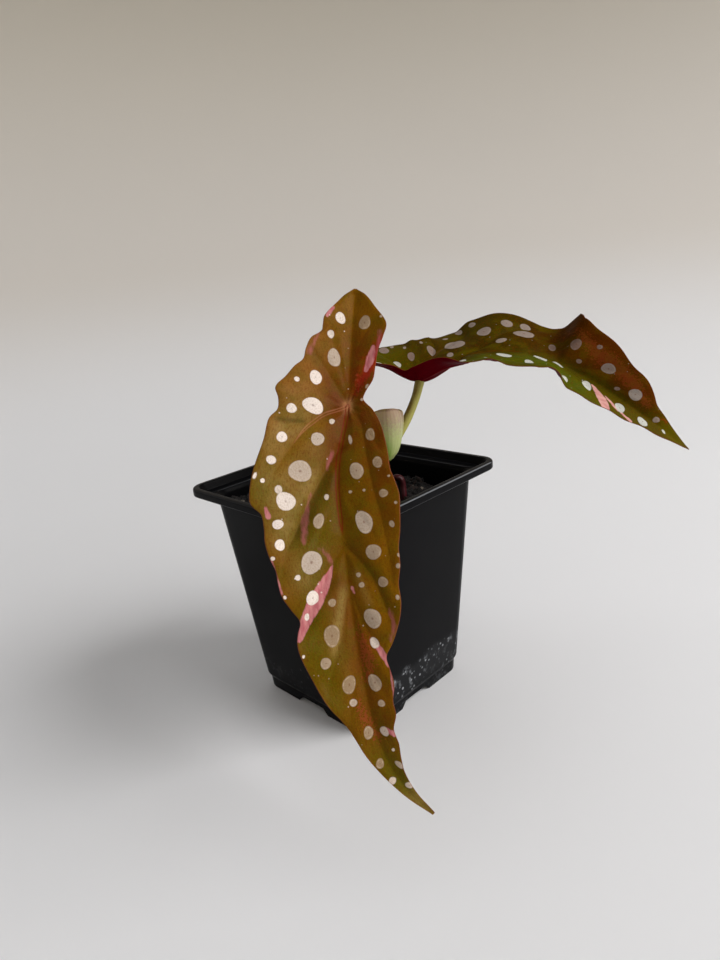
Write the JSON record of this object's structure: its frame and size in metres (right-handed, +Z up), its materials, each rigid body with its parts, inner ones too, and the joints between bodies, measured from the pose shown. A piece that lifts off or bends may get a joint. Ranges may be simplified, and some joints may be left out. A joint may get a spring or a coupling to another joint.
{
  "type": "potted polka dot begonia",
  "caption": "Young angel-wing begonia with long, lopsided, silver-spotted leaves on a short cane, growing in a square black nursery pot of potting mix.",
  "frame": {"origin": "centre of the bounding box at the level of the pot's feet", "axes": "+Z up; X and Y run along the square pot's sides; the side leaf reaches towards +X and the front leaf hangs over the pot's -X -Y corner"},
  "size_m": [0.174, 0.145, 0.1664],
  "materials": {
    "pot_plastic": "satin black moulded plastic, dusty near its foot",
    "potting_mix": "damp, dark, crumbly fibre and bark",
    "cane": "smooth fleshy green cane with ringed nodes",
    "leaf_stalk": "smooth fleshy olive stalk",
    "front_blade": "waxy bronze-olive leaf with silver-pink spots and pink streaks, burgundy below",
    "side_blade": "waxy olive leaf, reddish brown to the tip, with silver spots, burgundy below",
    "sheath": "thin, papery, pale green with a pink-brown edge",
    "red_shoot": "smooth dark red young shoot"
  },
  "bodies": {
    "root": {"pot": "pot_plastic", "soil": "potting_mix", "stem": "cane", "petiole_front": "leaf_stalk", "leaf_front": "front_blade", "petiole_side": "leaf_stalk", "leaf_side": "side_blade", "stipule": "sheath", "shoot": "red_shoot"}
  },
  "joints": []
}
